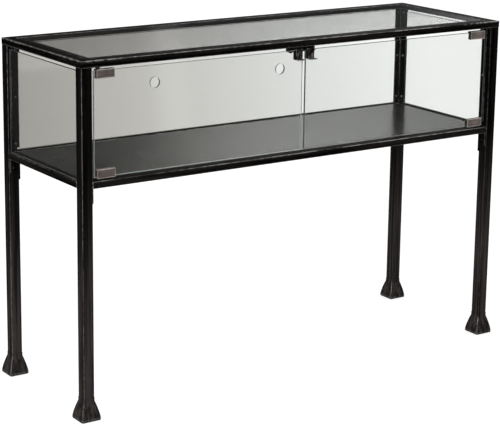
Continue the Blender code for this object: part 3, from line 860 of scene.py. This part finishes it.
screw_points = []
screw_aims = []
for x_side, y_side in corners:
    for row in range(screw_rows):
        low = strip_low.z + screw_inset
        height = low + (strip_high.z - screw_inset - low) * row / (screw_rows - 1)
        for along, across, aim in ((flange_middle, strip_face, (0, 1)),
                                   (strip_face, flange_middle, (1, 0))):
            seat_x, seat_y = (along + seat * aim[0], across + seat * aim[1])
            screw_points.append((x_side * (leg_centre.x - seat_x),
                                 y_side * (-leg_centre.y - seat_y), height))
            screw_aims.append((-x_side * aim[0], -y_side * aim[1], 0))
scattered("strip_screws", screw_points, screw_aims, screw_shape(), zinc)

# %% [markdown]
# ### Welds
#
# Where the maker joins two tubes, a row of small overlapping ripples is left, then
# brushed down and blackened. The beads are squashed balls in a close row along each
# joint, each a little different in size. At the shelf a row also runs up the outer
# face of every joint.

# %% The ripple and its finish
bead_radius = 0.0013
bead_pitch = 0.0011
bead_length = 0.75
bead_sizes = (0.75, 1.1)
bead_seed = 7
weld_relief = 0.00008


def ripple_shape():
    mesh = bmesh.new()
    bmesh.ops.create_uvsphere(mesh, u_segments=7, v_segments=5, radius=bead_radius,
                              matrix=Matrix.Diagonal((1.0, 1.0, bead_length, 1.0)))
    data = bpy.data.meshes.new("ripple")
    mesh.to_mesh(data)
    mesh.free()
    data.shade_smooth()
    shape = bpy.data.objects.new("ripple", data)
    bpy.context.scene.collection.objects.link(shape)
    return shape


def paint_weld(net):
    place = net.place()
    broken = net.noise(place, (260.0, 260.0, 260.0), 3.0, 0.6)
    share = broken.rising(0.40, 0.64, 0.9)
    net.finish(net.shader(Base_Color=net.blend(share, leg_patina[0], bare_steel),
                          Metallic=0.5, Roughness=0.36 + broken * 0.2,
                          Specular_Tint=grey(0.36),
                          Normal=net.bump(broken, weld_relief)))


weld = finish_named("weld", paint_weld)


# %% Where the beads run
def corner_frame(x_side, y_side):
    """A function that gives points at one corner by their distance from its outer faces."""
    def at(along, across, height):
        return (x_side * (outer_x - along), y_side * (outer_y - across), height)
    return at


def bead_row(start, stop):
    """Points and aims along a joint."""
    start = Vector(start)
    stop = Vector(stop)
    count = max(2, round((stop - start).length / bead_pitch))
    aim = (stop - start).normalized()
    return [(start.lerp(stop, step / count), aim) for step in range(count + 1)]


bead_offset = 0.0004
joint = top_low.z - seat / 2
top_start, top_stop = (0.004, tube - 0.002)
shelf_start = 0.003
shelf_sink = 0.0008
upright_sink = 0.0007
upright_end = 0.0015

rows = []
for x_side, y_side in corners:
    at = corner_frame(x_side, y_side)
    outside = tube + bead_offset
    rows.append(bead_row(at(outside, top_start, joint), at(outside, top_stop, joint)))
    rows.append(bead_row(at(top_start, outside, joint), at(top_stop, outside, joint)))
    inside = tube - bead_offset
    for height in (shelf_low.z + shelf_sink, shelf_high.z - shelf_sink):
        rows.append(bead_row(at(inside, shelf_start, height), at(inside, tube, height)))
        rows.append(bead_row(at(shelf_start, inside, height), at(tube, inside, height)))
    low, high = (shelf_low.z + upright_end, shelf_high.z - upright_end)
    rows.append(bead_row(at(tube, upright_sink, low), at(tube, upright_sink, high)))
    rows.append(bead_row(at(upright_sink, tube, low), at(upright_sink, tube, high)))
bead_points = [point for row in rows for point, _ in row]
bead_aims = [aim for row in rows for _, aim in row]
scattered("weld_beads", bead_points, bead_aims, ripple_shape(), weld,
          bead_sizes, bead_seed)


# %% [markdown]
# The ground-flush side of each weld closes the joint itself. A thin plug with the tube's
# outline fills each gap between a leg and the frame, and a mitred plug fills the gap at
# each corner of the top.

# %% Plugs in the joints
def prism_piece(name, outlines, material):
    """Flat plugs as one piece: each a list of points at one end and at the other."""
    mesh = bmesh.new()
    for low, high in outlines:
        bottom = [mesh.verts.new(point) for point in low]
        top = [mesh.verts.new(point) for point in high]
        mesh.faces.new(bottom)
        mesh.faces.new(top)
        for index in range(len(low)):
            beside = (index + 1) % len(low)
            mesh.faces.new((bottom[index], bottom[beside], top[beside], top[index]))
    bmesh.ops.recalc_face_normals(mesh, faces=mesh.faces[:])
    data = bpy.data.meshes.new(name)
    mesh.to_mesh(data)
    mesh.free()
    data.materials.append(material)
    piece = bpy.data.objects.new(name, data)
    bpy.context.scene.collection.objects.link(piece)
    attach(piece, "frame")
    print(name, "faces:", len(data.polygons))


# %% Where the plugs go
ground = 0.00015
corner_cut = 0.0012


def section(low, high):
    """A tube's outline with cut corners, a little ground off, between two faces."""
    near, far = (corner_cut, tube - corner_cut)
    return [(ground, low + corner_cut), (near, low + ground), (far, low + ground),
            (tube - ground, low + corner_cut), (tube - ground, high - corner_cut),
            (far, high - ground), (near, high - ground), (ground, high - corner_cut)]


leg_plugs = []
rail_plugs = []
mitre_plugs = []
for x_side, y_side in corners:
    at = corner_frame(x_side, y_side)
    leg_plugs.append(([at(a, b, leg_high.z) for a, b in section(0, tube)],
                      [at(a, b, top_low.z) for a, b in section(0, tube)]))
    shelf_end = section(shelf_low.z, shelf_high.z)
    rail_plugs.append(([at(tube, a, z) for a, z in shelf_end],
                       [at(tube + seat, a, z) for a, z in shelf_end]))
    rail_plugs.append(([at(a, tube, z) for a, z in shelf_end],
                       [at(a, tube + seat, z) for a, z in shelf_end]))
    top_end = section(top_low.z, top_high.z)
    mitre_plugs.append(([at(a + seat, a, z) for a, z in top_end],
                        [at(a, a + seat, z) for a, z in top_end]))
prism_piece("leg_welds", leg_plugs, steel_of["leg_right"])
prism_piece("shelf_welds", rail_plugs, steel_of["shelf_long"])
prism_piece("mitre_welds", mitre_plugs, steel_of["top_long"])
